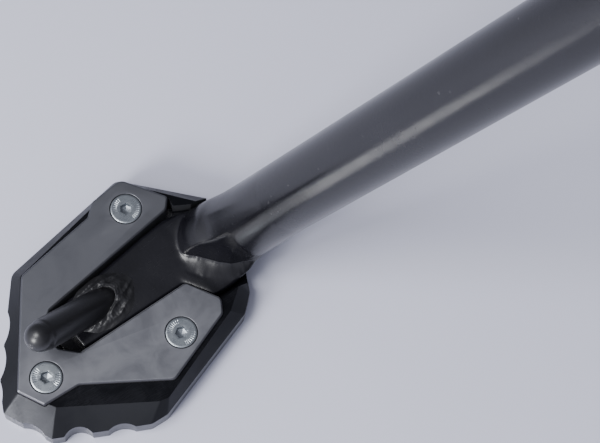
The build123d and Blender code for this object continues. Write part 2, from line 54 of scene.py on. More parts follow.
# ---------------------------------------------------------------- driving dimensions
LEAN, PAD_TURN = 14.0, 8.0       # degrees: the leg forward of square, the foot about the vertical
PAD_TOP = 16.0                   # top of the clamp plate above the ground
YOKE_OUT = 38.0                  # top of the leg tube, down the leg from the pivot
TUBE_R = 13.6
POST_DOWN, SPRING_PLANE = 90.0, -33.0
POST_R = 4.0
SHELF_Z, TOE_TOP = 7.0, 13.0     # under and over the pressed toe
PEG_R, DOME_R, PEG_L, PEG_ROOT_L = 6.1, 5.6, 36.7, 12.0
PEG_ROOT = Vector((10.0, 59.3, TOE_TOP))
PEG_AIM = Vector((-0.068, 0.741, 0.668)).normalized()
SCREWS = ((32.6, 27.0), (-19.3, 42.2), (-0.6, 91.7))
SCREW_HEAD_R = 6.0
SOCKET_AF, SOCKET_DEPTH = 4.0, 2.6
OUTER_WIRE_R, OUTER_COIL_R, OUTER_HOOK = 1.6, 7.0, 2.0
INNER_WIRE_R, INNER_COIL_R, INNER_HOOK = 1.0, 3.7, -2.4
COIL_CLEAR, INNER_SHORT = 19.0, 5.0
HOOK_GAP = 0.35

# ---------------------------------------------------------------- frames
X, Y, Z = Vector((1, 0, 0)), Vector((0, 1, 0)), Vector((0, 0, 1))
swing = next(j for j in frame["joints"] if j["name"] == "leg_swing")
spring_joint = next(j for j in frame["joints"] if j["name"] == "spring_swing")
PIVOT = Vector(swing["pos_m"])
ACROSS = Vector(swing["axis"]).normalized()
TILT_UP = Vector((0, -ACROSS.z, ACROSS.y))
lean_rad = math.radians(LEAN)
UP_LEG = (TILT_UP * math.cos(lean_rad) - Vector((math.sin(lean_rad), 0, 0))).normalized()
GROUND_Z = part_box("base_plate")[0].z
LEG_LENGTH = (PIVOT.z - GROUND_Z - PAD_TOP * MM) / UP_LEG.z / MM
FOOT = PIVOT - UP_LEG * LEG_LENGTH * MM


def frame_at(origin, x_dir, z_dir):
    """Matrix from local millimetres to the row frame's metres."""
    z = z_dir.normalized()
    x = (x_dir - z * x_dir.dot(z)).normalized()
    turn = Matrix((x, z.cross(x), z)).transposed().to_4x4()
    return Matrix.Translation(origin) @ turn @ Matrix.Scale(MM, 4)


LEG = frame_at(PIVOT, ACROSS.cross(UP_LEG), UP_LEG)
turn_rad = math.radians(PAD_TURN)
pad_x = Vector((math.cos(turn_rad), math.sin(turn_rad), 0))
PAD = frame_at(Vector((FOOT.x, FOOT.y, GROUND_Z)), pad_x, Z)
LEG_IN_PAD = PAD.inverted() @ LEG
spring_top = Vector(spring_joint["pos_m"])
spring_low = LEG @ Vector((0, 0, -POST_DOWN))
SPRING_LENGTH = (spring_top - spring_low).length / MM
SPRING = frame_at(spring_top, ACROSS.cross(spring_top - spring_low), spring_top - spring_low)
PEG = frame_at(PAD @ PEG_ROOT, PAD.to_3x3() @ Vector((1, 0, 0.1)), PAD.to_3x3() @ PEG_AIM)


# ================================================================= materials
def node_tree(name):
    """New material with its tree, its shader and the socket of object coordinates."""
    material = bpy.data.materials.new(name)
    material.use_nodes = True
    tree = material.node_tree
    shader = tree.nodes["Principled BSDF"]
    place = tree.nodes.new("ShaderNodeTexCoord")
    return material, tree, shader, place.outputs["Object"]


def link(tree, a, b):
    tree.links.new(a, b)


def noise_of(tree, vector, per_metre, detail, rough, distortion=0.0):
    node = tree.nodes.new("ShaderNodeTexNoise")
    node.inputs["Scale"].default_value = per_metre
    node.inputs["Detail"].default_value = detail
    node.inputs["Roughness"].default_value = rough
    node.inputs["Distortion"].default_value = distortion
    link(tree, vector, node.inputs["Vector"])
    return node.outputs["Fac"]


def stretched(tree, vector, scale, turn=(0, 0, 0)):
    node = tree.nodes.new("ShaderNodeMapping")
    node.inputs["Scale"].default_value = scale
    node.inputs["Rotation"].default_value = turn
    link(tree, vector, node.inputs["Vector"])
    return node.outputs["Vector"]


def ranged(tree, value, low, high, out_low, out_high):
    """Value turned smoothly from low..high into out_low..out_high, and held beyond."""
    node = tree.nodes.new("ShaderNodeMapRange")
    node.interpolation_type = "SMOOTHSTEP"
    for socket, number in zip(("From Min", "From Max", "To Min", "To Max"), (low, high, out_low, out_high)):
        node.inputs[socket].default_value = number
    link(tree, value, node.inputs["Value"])
    return node.outputs["Result"]


def mixed(tree, fac, a, b):
    """Colour a where fac is 0 and b where it is 1; each is a colour or a socket."""
    node = tree.nodes.new("ShaderNodeMix")
    node.data_type = "RGBA"
    link(tree, fac, node.inputs["Factor"])
    for socket, value in ((node.inputs[6], a), (node.inputs[7], b)):
        if isinstance(value, tuple):
            socket.default_value = (*value, 1.0)
        else:
            link(tree, value, socket)
    return node.outputs[2]


def math_of(tree, operation, *values):
    """Maths on one or two values; each is a number or a socket."""
    node = tree.nodes.new("ShaderNodeMath")
    node.operation = operation
    for socket, value in zip(node.inputs, values):
        if isinstance(value, (int, float)):
            socket.default_value = value
        else:
            link(tree, value, socket)
    return node.outputs[0]


def bumped(tree, shader, layers):
    """Stack of bump layers, each a height socket and its depth in metres."""
    normal = None
    for height, depth in layers:
        node = tree.nodes.new("ShaderNodeBump")
        node.inputs["Strength"].default_value = 1.0
        node.inputs["Distance"].default_value = depth
        link(tree, height, node.inputs["Height"])
        if normal:
            link(tree, normal, node.inputs["Normal"])
        normal = node.outputs["Normal"]
    link(tree, normal, shader.inputs["Normal"])


def edge_wear_and_highlight(tree, low, high):
    """From 0 on faces to 1 on outward edges; it marks worn edges and a painted edge highlight."""
    geometry = tree.nodes.new("ShaderNodeNewGeometry")
    return ranged(tree, geometry.outputs["Pointiness"], low, high, 0.0, 1.0)


def powder_coat(name, colour, roughness, peel=1.0):
    """Semi-gloss black coating: orange peel, soft colour drift, fine scuffs, worn edges."""
    material, tree, shader, place = node_tree(name)
    drift = noise_of(tree, place, 45, 3, 0.5)
    scuffs = noise_of(tree, stretched(tree, place, (900, 140, 900), (0.3, 0.5, 0.2)), 1.0, 6, 0.7)
    dust = noise_of(tree, place, 2600, 2, 0.5)
    base = mixed(tree, ranged(tree, drift, 0.3, 0.7, 0, 1), colour, tuple(c * 1.35 for c in colour))
    dusty = ranged(tree, dust, 0.72, 0.84, 0.0, 0.18)
    base = mixed(tree, dusty, base, tuple(c * 3.0 + 0.01 for c in colour))
    worn = math_of(tree, "MULTIPLY", edge_wear_and_highlight(tree, 0.57, 0.68), ranged(tree, scuffs, 0.45, 0.65, 0.0, 0.5))
    base = mixed(tree, worn, base, (0.16, 0.16, 0.165))
    link(tree, base, shader.inputs["Base Color"])
    rough = ranged(tree, drift, 0.25, 0.75, roughness - 0.04, roughness + 0.05)
    rough = math_of(tree, "ADD", rough, ranged(tree, scuffs, 0.58, 0.75, 0.0, 0.10))
    link(tree, rough, shader.inputs["Roughness"])
    shader.inputs["Specular IOR Level"].default_value = 0.55
    peel_height = noise_of(tree, place, 700, 2, 0.4)
    bumped(tree, shader, ((peel_height, 0.000025 * peel), (dust, 0.000002)))
    return material


def anodised(name, colour, cloud, roughness, slope_painted_light, wall_painted_light, slope_rough=0.0, painted_shade_side=None, painted_edge_highlight=True):
    """Anodised aluminium: cloudy tint, fine milled grain, pinholes, and painted light and shade on sloping
    faces and upright sides, set by which way each face faces.

    The side given for shade is a direction, two places along it in metres, and the darker tint that fades in
    between them: a painted shade along that direction.
    The edge switch turns on a painted highlight along the outward edges; it is off for a part whose long
    faces would spread that painted highlight inwards.
    """
    material, tree, shader, place = node_tree(name)
    clouds = noise_of(tree, place, 70, 5, 0.62, 0.6)
    specks = noise_of(tree, place, 1500, 3, 0.7)
    grain = noise_of(tree, stretched(tree, place, (3500, 260, 3500)), 1.0, 3, 0.6)
    base = mixed(tree, ranged(tree, clouds, 0.32, 0.68, 0, 1), colour, cloud)
    base = mixed(tree, ranged(tree, specks, 0.66, 0.76, 0.0, 0.35), base, tuple(c * 0.55 for c in colour))
    facing = tree.nodes.new("ShaderNodeSeparateXYZ")
    link(tree, tree.nodes["Texture Coordinate"].outputs["Normal"], facing.inputs[0])
    level = math_of(tree, "ABSOLUTE", facing.outputs["Z"])
    # painted light and shade: sloping faces and upright sides take their own lighter or darker tint
    sloped = ranged(tree, level, 0.80, 0.98, 1.0, 0.0)
    base = mixed(tree, sloped, base, slope_painted_light)
    base = mixed(tree, ranged(tree, level, 0.1, 0.4, 1.0, 0.0), base, wall_painted_light)
    # painted shade: the colour darkens along the given direction
    if painted_shade_side:
        direction, near, far, painted_shade_tint = painted_shade_side
        along = tree.nodes.new("ShaderNodeVectorMath")
        along.operation = "DOT_PRODUCT"
        along.inputs[1].default_value = direction
        link(tree, place, along.inputs[0])
        base = mixed(tree, ranged(tree, along.outputs["Value"], near, far, 0.0, 1.0), base, painted_shade_tint)
    # painted highlight: outward edges tinted paler than the cloud colour
    if painted_edge_highlight:
        base = mixed(tree, edge_wear_and_highlight(tree, 0.53, 0.60), base, tuple(min(1.0, c * 1.9 + 0.05) for c in cloud))
    link(tree, base, shader.inputs["Base Color"])
    rough = ranged(tree, clouds, 0.3, 0.7, roughness - 0.05, roughness + 0.05)
    rough = math_of(tree, "ADD", rough, ranged(tree, sloped, 0.0, 1.0, 0.0, slope_rough))
    rough = math_of(tree, "ADD", rough, ranged(tree, grain, 0.4, 0.7, -0.02, 0.05))
    link(tree, rough, shader.inputs["Roughness"])
    shader.inputs["Metallic"].default_value = 0.75
    bumped(tree, shader, ((grain, 0.000004), (specks, 0.000008)))
    return material


def bare_steel(name, colour, roughness):
    """Metal with no paint, plated or drawn: fine drawing lines, faint stains, paler edges."""
    material, tree, shader, place = node_tree(name)
    stains = noise_of(tree, place, 260, 4, 0.6)
    lines = noise_of(tree, stretched(tree, place, (4200, 500, 4200)), 1.0, 3, 0.6)
    base = mixed(tree, ranged(tree, stains, 0.35, 0.7, 0, 1), colour, tuple(c * 0.72 for c in colour))
    base = mixed(tree, edge_wear_and_highlight(tree, 0.53, 0.62), base, tuple(min(1.0, c * 1.35) for c in colour))
    link(tree, base, shader.inputs["Base Color"])
    shader.inputs["Metallic"].default_value = 0.9
    rough = ranged(tree, stains, 0.3, 0.7, roughness - 0.05, roughness + 0.08)
    rough = math_of(tree, "ADD", rough, ranged(tree, lines, 0.4, 0.7, -0.03, 0.06))
    link(tree, rough, shader.inputs["Roughness"])
    bumped(tree, shader, ((lines, 0.000006), (stains, 0.00001)))
    return material


def moulded(name, colour, roughness, pebble):
    """Moulded plastic or rubber with a fine pebbled skin."""
    material, tree, shader, place = node_tree(name)
    drift = noise_of(tree, place, 90, 3, 0.5)
    skin = noise_of(tree, place, 1800, 3, 0.6)
    base = mixed(tree, ranged(tree, drift, 0.3, 0.7, 0, 1), colour, tuple(c * 1.5 for c in colour))
    link(tree, base, shader.inputs["Base Color"])
    link(tree, ranged(tree, skin, 0.3, 0.7, roughness - 0.06, roughness + 0.08), shader.inputs["Roughness"])
    bumped(tree, shader, ((skin, pebble), (drift, 0.00004)))
    return material


def floor_paper():
    """Pale glossy paper; its gloss throws the lamps' light back up at the tube."""
    material, tree, shader, place = node_tree("floor_paper")
    drift = noise_of(tree, place, 2.2, 3, 0.5)
    fibre = noise_of(tree, place, 900, 3, 0.6)
    base = mixed(tree, ranged(tree, drift, 0.3, 0.7, 0, 1), (0.61, 0.62, 0.74), (0.65, 0.66, 0.78))
    link(tree, base, shader.inputs["Base Color"])
    link(tree, ranged(tree, drift, 0.3, 0.7, 0.10, 0.13), shader.inputs["Roughness"])
    shader.inputs["Specular IOR Level"].default_value = 0.72
    bumped(tree, shader, ((fibre, 0.000001),))
    return material


LEG_BLACK = powder_coat("leg_black", (0.005, 0.005, 0.007), 0.23)
WELD_BLACK = powder_coat("weld_black", (0.016, 0.016, 0.018), 0.42, peel=1.5)
# painted light: the peg's black is a lighter copy of the leg's, so the peg looks more brightly lit
PEG_BLACK_PAINTED_LIGHT = powder_coat("peg_black_painted_light", (0.011, 0.011, 0.013), 0.34)
CAST_BLACK = powder_coat("cast_black", (0.008, 0.008, 0.010), 0.40, peel=2.5)
# painted sheen: the black base's sloping faces and upright sides are tinted lighter than its top
BASE_BLACK = anodised(
    "base_black", colour=(0.007, 0.0075, 0.010), cloud=(0.011, 0.0115, 0.015), roughness=0.25,
    slope_painted_light=(0.023, 0.024, 0.028), wall_painted_light=(0.10, 0.102, 0.115), slope_rough=0.17, painted_edge_highlight=False,
)
PAD_ACROSS = (PAD.to_3x3() @ X).normalized()
PAD_MIDDLE = PAD_ACROSS.dot(PAD.translation)
# painted shade: the grey clamp's sloping faces and upright sides are tinted darker than its top
CLAMP_GREY = anodised(
    "clamp_grey", colour=(0.125, 0.128, 0.145), cloud=(0.165, 0.169, 0.187), roughness=0.44,
    slope_painted_light=(0.10, 0.10, 0.115), wall_painted_light=(0.10, 0.10, 0.115),
    # painted shade: the clamp darkens towards the pad's +x side
    painted_shade_side=(PAD_ACROSS, PAD_MIDDLE - 0.004, PAD_MIDDLE + 0.022, (0.097, 0.100, 0.114)),
)
ZINC = bare_steel("zinc", (0.34, 0.37, 0.40), 0.30)
WIRE = bare_steel("wire", (0.16, 0.16, 0.17), 0.34)
BRONZE = bare_steel("bronze", (0.42, 0.27, 0.12), 0.36)
PLASTIC = moulded("plastic", (0.016, 0.016, 0.018), 0.48, 0.00003)
RUBBER = moulded("rubber", (0.012, 0.012, 0.012), 0.68, 0.00005)


# ================================================================= mesh helpers
BROAD_FACE = 60e-6               # square metres; larger faces of a hard part are shaded flat
BROAD_MANY = BROAD_FACE / 15     # the same for a face with more than four corners
SAME_POINT = 0.00001             # metres
SAME_FACE, HARD_EDGE, SHARP_EDGE = 0.6, 24.0, 35.0   # degrees between two faces of a CAD node
EDGE_STEPS = 2


def finish_piece(name, bm, place, body, material, nodes, sharp, flat_faces=False):
    """Make the piece from its local frame, shade it, and tie it to its body; sharp is in degrees."""
    bmesh.ops.transform(bm, matrix=place, verts=bm.verts)
    bmesh.ops.recalc_face_normals(bm, faces=bm.faces)
    mesh = bpy.data.meshes.new(name)
    bm.to_mesh(mesh)
    bm.free()
    for face in mesh.polygons:
        limit = BROAD_MANY if len(face.vertices) > 4 else BROAD_FACE
        face.use_smooth = not (flat_faces and face.area > limit)
    mesh.set_sharp_from_angle(angle=math.radians(sharp))
    piece = bpy.data.objects.new(name, mesh)
    bpy.context.scene.collection.objects.link(piece)
    mesh.materials.append(material)
    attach(piece, body)
    if nodes:
        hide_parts(*nodes)
    if flat_faces:
        normals = piece.modifiers.new("normals", "WEIGHTED_NORMAL")
        normals.mode, normals.keep_sharp = "FACE_AREA", True


def add_rings(bm, rings, closed=False):
    """Quads between rings of points; closed joins the last ring to the first, and open ends get a face."""
    loops = [[bm.verts.new(point) for point in ring] for ring in rings]
    count = len(loops[0])
    pairs = list(zip(loops, loops[1:])) + ([(loops[-1], loops[0])] if closed else [])
    for low, high in pairs:
        for i in range(count):
            j = (i + 1) % count
            bm.faces.new((low[i], low[j], high[j], high[i]))
    if not closed:
        bm.faces.new(loops[0][::-1])
        bm.faces.new(loops[-1])


def add_lathe(bm, profile, segments):
    """Revolve (radius, height) pairs about z; a radius of 0 closes the end."""
    loops = []
    for radius, height in profile:
        if radius <= 0:
            loops.append([bm.verts.new((0, 0, height))])
        else:
            angles = [2 * math.pi * i / segments for i in range(segments)]
            loops.append([bm.verts.new((radius * math.cos(a), radius * math.sin(a), height)) for a in angles])
    for low, high in zip(loops, loops[1:]):
        for i in range(segments):
            j = (i + 1) % segments
            corners = [low[i % len(low)], low[j % len(low)], high[j % len(high)], high[i % len(high)]]
            unique = list(dict.fromkeys(corners))
            if len(unique) > 2:
                bm.faces.new(unique)


def sweep_rings(path, radius_at, segments, closed=False):
    """Rings of a round bar along a path of points; radius_at(share, angle) gives its radius."""
    count = len(path)
    tangents = []
    for i, point in enumerate(path):
        after = path[(i + 1) % count] if closed or i < count - 1 else point
        before = path[i - 1] if closed or i > 0 else point
        tangents.append((after - before).normalized())
    side = tangents[0].orthogonal().normalized()
    rings = []
    for i, point in enumerate(path):
        side = (side - tangents[i] * side.dot(tangents[i])).normalized()
        up = tangents[i].cross(side)
        angles = [2 * math.pi * k / segments for k in range(segments)]
        share = i / max(1, count - 1)
        rings.append([point + (side * math.cos(a) + up * math.sin(a)) * radius_at(share, a) for a in angles])
    return rings


def smooth_path(points, step):
    """Points about a step apart on a Catmull-Rom curve through the given ones."""
    path = []
    ends = [points[0] * 2 - points[1], *points, points[-1] * 2 - points[-2]]
    for a, b, c, d in zip(ends, ends[1:], ends[2:], ends[3:]):
        count = max(1, round((c - b).length / step))
        for i in range(count):
            t = i / count
            cubic = (b * 3 - a - c * 3 + d) * t ** 3
            path.append((b * 2 + (c - a) * t + (a * 2 - b * 5 + c * 4 - d) * t * t + cubic) / 2)
    return path + [points[-1]]


def softened(node, body, material, width):
    """CAD node with every hard edge rounded by a width; the copy stands for the node."""
    bm = bmesh.new()
    bm.from_mesh(frame["nodes"][node].data)
    bmesh.ops.remove_doubles(bm, verts=bm.verts, dist=SAME_POINT)
    bmesh.ops.dissolve_limit(bm, angle_limit=math.radians(SAME_FACE), verts=bm.verts, edges=bm.edges)
    hard = [e for e in bm.edges if e.is_manifold and e.calc_face_angle(0) > math.radians(HARD_EDGE)]
    bmesh.ops.bevel(
        bm, geom=hard, offset=width * MM, segments=EDGE_STEPS, profile=0.5, affect="EDGES",
        clamp_overlap=True,
    )
    in_place = Matrix.Identity(4)
    finish_piece(node + "_skin", bm, in_place, body, material, [node], SHARP_EDGE, flat_faces=True)


def wobble(point, per_mm, seed):
    """Smooth noise in -1..1 at a point given in millimetres."""
    return noise.noise(point * per_mm + Vector((seed, seed * 1.7, -seed)))


# ================================================================= leg
TUBE_RING, FLAT_RING = 120, 160  # points round the tube and round its flattened end
TUBE_STEPS, TOE_STEPS = 50, 70
TUBE_STEP, FLAT_STEP = 1.0, 0.8  # between rings where the tube bends and where it flattens
NOSE_TOP = 40.0                  # where the tube starts to swell, up the leg from the foot
VOXEL = 0.5
# the tube's swollen end, still round, in level slices: centre and radius
NOSE = ((-3.6, -3.2, 26.0, 14.1), (-0.6, 2.4, 19.0, 14.6), (1.5, 6.0, 14.0, 15.0), (2.2, 7.4, 9.0, 15.2))
# the flattened part in upright slices: centre, half width, half depth, squareness
FLAT = (
    (Vector((-1.6, -6.0, 18.5)), 13.8, 8.6, 2.1),
    (Vector((-0.2, 1.0, 15.5)), 15.6, 6.6, 2.2),
    (Vector((0.8, 8.0, 12.0)), 16.9, 4.5, 2.6),
    (Vector((1.8, 13.0, 10.4)), 17.9, 3.4, 3.4),
    (Vector((2.7, 18.0, 10.0)), 18.4, 3.0, 5.0),
    (Vector((3.1, 22.5, 10.0)), 17.9, 3.0, 7.0),
)
TOE_LEFT = ((22.5, -14.8), (24.5, -11.6), (27.0, -7.0), (28.6, -4.1), (73.3, 0.0))
TOE_RIGHT = ((22.5, 21.0), (28.6, 20.9), (73.3, 18.5))
TOE_SQUARENESS = 7.0


def leg_point(above_foot):
    """Point of the leg's axis in the pad frame."""
    return LEG_IN_PAD @ Vector((0, 0, above_foot - LEG_LENGTH))


def along_line(pairs, at):
    """Value at a station of a broken line of (station, value) pairs."""
    for (a, va), (b, vb) in zip(pairs, pairs[1:]):
        if at <= b:
            return va + (vb - va) * max(0.0, (at - a) / (b - a))
    return pairs[-1][1]


def superellipse(centre, across, through, half_width, half_depth, power, count):
    """Ring of points, round at power 2 and squarer above it."""
    points = []
    for i in range(count):
        angle = 2 * math.pi * i / count
        c, s = math.cos(angle), math.sin(angle)
        x = math.copysign(abs(c) ** (2 / power), c) * half_width
        y = math.copysign(abs(s) ** (2 / power), s) * half_depth
        points.append(centre + across * x + through * y)
    return points


def tube_rings():
    """Round tube down the leg's axis, then the nose, whose slices turn level."""
    down = (LEG_IN_PAD.to_3x3() @ Vector((0, 0, -1))).normalized()
    top = LEG_LENGTH - YOKE_OUT
    stations = [top + (NOSE_TOP - top) * i / TUBE_STEPS for i in range(TUBE_STEPS + 1)]
    keys = [(leg_point(above), TUBE_R, 0.0) for above in stations]
    bend = [(*leg_point(NOSE_TOP), TUBE_R, 0.0)] + [
        (*slice_, (i + 1) / len(NOSE)) for i, slice_ in enumerate(NOSE)
    ]
    path = smooth_path([Vector(key) for key in bend], TUBE_STEP)[1:]
    keys += [(Vector(key[:3]), key[3], key[4]) for key in path]
    rings = []
    for centre, radius, level in keys:
        normal = (down * (1 - level) - Z * level).normalized()
        across = (X - normal * normal.x).normalized()
        rings.append(superellipse(centre, across, normal.cross(across), radius, radius, 2.0, TUBE_RING))
    return rings


def flat_rings():
    """Pressed end of the tube, from inside the nose to the toe's tip."""
    keys = smooth_path([Vector((*centre, *rest)) for centre, *rest in FLAT], FLAT_STEP)[:-1]
    rings = [superellipse(Vector(key[:3]), X, Z, key[3], key[4], key[5], FLAT_RING) for key in keys]
    start, end = FLAT[-1][0].y, TOE_LEFT[-1][0]
    middle, half_depth = (SHELF_Z + TOE_TOP) / 2, (TOE_TOP - SHELF_Z) / 2
    for i in range(TOE_STEPS + 1):
        y = start + (end - start) * i / TOE_STEPS
        left, right = along_line(TOE_LEFT, y), along_line(TOE_RIGHT, y)
        centre, half_width = Vector(((left + right) / 2, y, middle)), (right - left) / 2
        rings.append(superellipse(centre, X, Z, half_width, half_depth, TOE_SQUARENESS, FLAT_RING))
    return rings


def fused(shapes):
    """One closed skin round overlapping shapes, in the same millimetres."""
    body = bmesh.new()
    for rings in shapes:
        add_rings(body, rings)
    bmesh.ops.recalc_face_normals(body, faces=body.faces)
    mesh = bpy.data.meshes.new("fused")
    body.to_mesh(mesh)
    body.free()
    holder = bpy.data.objects.new("fused", mesh)
    bpy.context.scene.collection.objects.link(holder)
    modifier = holder.modifiers.new("join", "REMESH")
    modifier.mode, modifier.voxel_size, modifier.adaptivity = "VOXEL", VOXEL, 0.0
    graph = bpy.context.evaluated_depsgraph_get()
    result = bmesh.new()
    result.from_mesh(holder.evaluated_get(graph).to_mesh())
    bpy.data.objects.remove(holder)
    bpy.data.meshes.remove(mesh)
    return result


# the leaf-shaped dent in the nose's rear side: the plan of its wall at its foot, from the lower tip round,
# the foot's height, the height that the wall takes to start, the wall's shift per millimetre of height,
# both tips, and between which places along their line, from its middle, the dent fades out
DENT_FOOT = (
    (3.5, 20.5), (0.0, 17.8), (-2.85, 15.7), (-6.25, 13.5), (-9.9, 10.2), (-12.4, 6.2), (-15.5, 0.5),
)
DENT_LOW, DENT_STEP, DENT_LEAN = 13.25, 0.2, Vector((0.15, -0.225))
DENT_TIPS = (Vector((1.5, 19.5, 17.6)), Vector((-12.0, 6.2, 34.5)))
DENT_FADE = (1.0, 11.5)
RIDGE_NEAR, RIDGE_ABOVE = 2.6, 2.5   # the ridge over the wall: this near to it, this far above its foot
LEDGE_NEAR, LEDGE_ABOVE = 6.0, 0.8   # the ledge at its foot: this near to the plan, at most this far above
DENT_SOFTEN, EDGE_SOFTEN = 2, 12     # rounds of smoothing over the nose, and on its ridge and ledge
NOSE_FROM, NOSE_TO = -12.0, 30.0     # where the dent may reach, in the pad's y
NOSE_UNDER, NOSE_OVER = 0.2, 8.0     # and how far under the toe's top and over the nose's top
TRUE_MARGIN = 1.0                    # kept clear at both ends where the round tube is trued up
# the valley where the nose stands on the toe, its circle in plan and its fillet
VALLEY_CENTRE, VALLEY_R = Vector((2.1, 7.2, TOE_TOP)), 15.0
FILLET, VALLEY_DEPTH, VALLEY_SOFTEN = 2.6, 1.5, 14
# where the press scored the valley: middle, reach, then a coarse and a fine waviness, each with its depth
# and its waves per millimetre
SMEAR_MIDDLE, SMEAR_REACH = Vector((-2.0, 21.0, TOE_TOP)), 13.0
SMEAR_COARSE, SMEAR_FINE = (0.30, 0.5), (0.16, 1.1)


def relaxed(verts, rounds):
    """Move each vertex half way to its neighbours' middle, all at once, round after round."""
    for _ in range(rounds):
        middles = []
        for vert in verts:
            around = [edge.other_vert(vert).co for edge in vert.link_edges]
            middles.append(sum(around, Vector()) / len(around))
        for vert, middle in zip(verts, middles):
            vert.co = vert.co.lerp(middle, 0.5)


def smooth_step(value, low, high):
    share = max(0.0, min(1.0, (value - low) / (high - low)))
    return share * share * (3 - 2 * share)


def dented(verts):
    """Press the nose's rear side back to a leaning wall, and round the ridge over it."""
    foot = [Vector(point) for point in DENT_FOOT]
    low, high = DENT_TIPS
    middle, along = (low + high) / 2, (high - low).normalized()
    ridge, ledge = [], []
    for vert in verts:
        plan = vert.co.xy - DENT_LEAN * (vert.co.z - DENT_LOW)
        gap, nearest, beyond = 1e9, None, 0.0
        for a, b in zip(foot, foot[1:]):
            run = b - a
            on_line = a + run * max(0.0, min(1.0, (plan - a).dot(run) / run.length_squared))
            if (plan - on_line).length < gap:
                gap, nearest = (plan - on_line).length, on_line
                beyond = (plan - a).dot(Vector((run.y, -run.x)))
        fade = 1 - smooth_step((vert.co - middle).dot(along), *DENT_FADE)
        if gap < RIDGE_NEAR and vert.co.z > DENT_LOW + RIDGE_ABOVE and fade > 0:
            ridge.append(vert)
        if beyond > 0:
            move = (nearest - plan) * fade * smooth_step(vert.co.z, DENT_LOW, DENT_LOW + DENT_STEP)
            vert.co += Vector((*move, 0))
            if vert.co.z < DENT_LOW + LEDGE_ABOVE and gap < LEDGE_NEAR:
                ledge.append(vert)
    relaxed(verts, DENT_SOFTEN)
    relaxed(ledge, EDGE_SOFTEN)
    relaxed(ridge, EDGE_SOFTEN)


def sculpted(bm):
    """True up the tube, fillet and roughen the valley round its nose, then press the nose's dent."""
    axis_top, axis_low = leg_point(LEG_LENGTH), leg_point(0.0)
    up = (axis_top - axis_low).normalized()
    valley, nose = [], []
    for vert in bm.verts:
        point = vert.co
        above = (point - axis_low).dot(up)
        level = point.z > TOE_TOP - NOSE_UNDER and above < NOSE_TOP + NOSE_OVER
        if level and NOSE_FROM < point.y < NOSE_TO:
            nose.append(vert)
        if above > NOSE_TOP + TRUE_MARGIN:
            centre = axis_low + up * above
            if above < LEG_LENGTH - YOKE_OUT - TRUE_MARGIN:
                vert.co = centre + (point - centre).normalized() * TUBE_R
            continue
        flat = Vector((point.x - VALLEY_CENTRE.x, point.y - VALLEY_CENTRE.y, 0))
        near = math.hypot(flat.length - VALLEY_R, point.z - TOE_TOP) < FILLET
        if near and point.z > TOE_TOP - VALLEY_DEPTH:
            valley.append(vert)
    relaxed(valley, VALLEY_SOFTEN)
    (coarse, coarse_per_mm), (fine, fine_per_mm) = SMEAR_COARSE, SMEAR_FINE
    for vert in valley:
        near = max(0.0, 1 - (vert.co - SMEAR_MIDDLE).length / SMEAR_REACH)
        waves = coarse * wobble(vert.co, coarse_per_mm, 3.0) + fine * wobble(vert.co, fine_per_mm, 6.0)
        vert.co.z += near * waves
    dented(nose)


def leg_tube():
    bm = fused((tube_rings(), flat_rings()))
    sculpted(bm)
    finish_piece("leg_tube_skin", bm, PAD, "leg", LEG_BLACK, ["leg_tube"], sharp=180)


DOME_STEPS, PEG_SEGMENTS = 20, 72


def foot_peg():
    """Round bar with a turned ball end and a small shoulder where the ball was cut."""
    low = 3 - PEG_ROOT_L
    profile = [(0, low), (PEG_R, low), (PEG_R, PEG_L - 2.6), (PEG_R - 0.15, PEG_L - 1.6)]
    profile += [(PEG_R - 0.5, PEG_L - 0.9), (DOME_R + 0.12, PEG_L - 0.4)]
    for i in range(DOME_STEPS):
        angle = math.pi / 2 * i / DOME_STEPS
        profile.append((DOME_R * math.cos(angle), PEG_L + DOME_R * math.sin(angle)))
    profile.append((0, PEG_L + DOME_R))
    bm = bmesh.new()
    add_lathe(bm, profile, PEG_SEGMENTS)
    finish_piece("foot_peg_bar", bm, PEG, "leg", PEG_BLACK_PAINTED_LIGHT, ["foot_peg"], sharp=50)


BEAD_PITCH, BEAD_SIDES = 1.7, 20


def bead_radius(size, length, seed):
    """Radius of a hand-laid weld bead: overlapping ripples with an uneven toe."""
    def radius(share, angle):
        ripple = abs(math.sin(math.pi * share * length / BEAD_PITCH))
        rough = wobble(Vector((share * length, math.cos(angle) * 2, math.sin(angle) * 2)), 0.55, seed)
        return size * (0.86 + 0.16 * ripple + 0.10 * rough)
    return radius


def weld_bead(name, path, size, place, nodes, seed, closed=False):
    """Bead along a path on the leg; closed joins its ends."""
    length = sum((b - a).length for a, b in zip(path, path[1:]))
    bm = bmesh.new()
    rings = sweep_rings(path, bead_radius(size, length, seed), BEAD_SIDES, closed)
    add_rings(bm, rings, closed=closed)
    finish_piece(name, bm, place, "leg", WELD_BLACK, nodes, sharp=70)


def circle_path(centre, x_dir, y_dir, radius, steps):
    angles = [2 * math.pi * i / steps for i in range(steps)]
    return [centre + x_dir * (radius * math.cos(a)) + y_dir * (radius * math.sin(a)) for a in angles]


WELD_CREST, WELD_TOE = 3.4, 0.25     # height at the peg, and the least thickness out to the edge
WELD_SPREAD = ((-180, 4.6), (-90, 7.6), (0, 3.0), (90, 2.6), (180, 4.6))   # by bearing from the peg, 0 is +x
WELD_INSIDE = 1.2                    # how far the weld reaches in under the peg's skin
WELD_ROUND, WELD_ACROSS = 240, 44


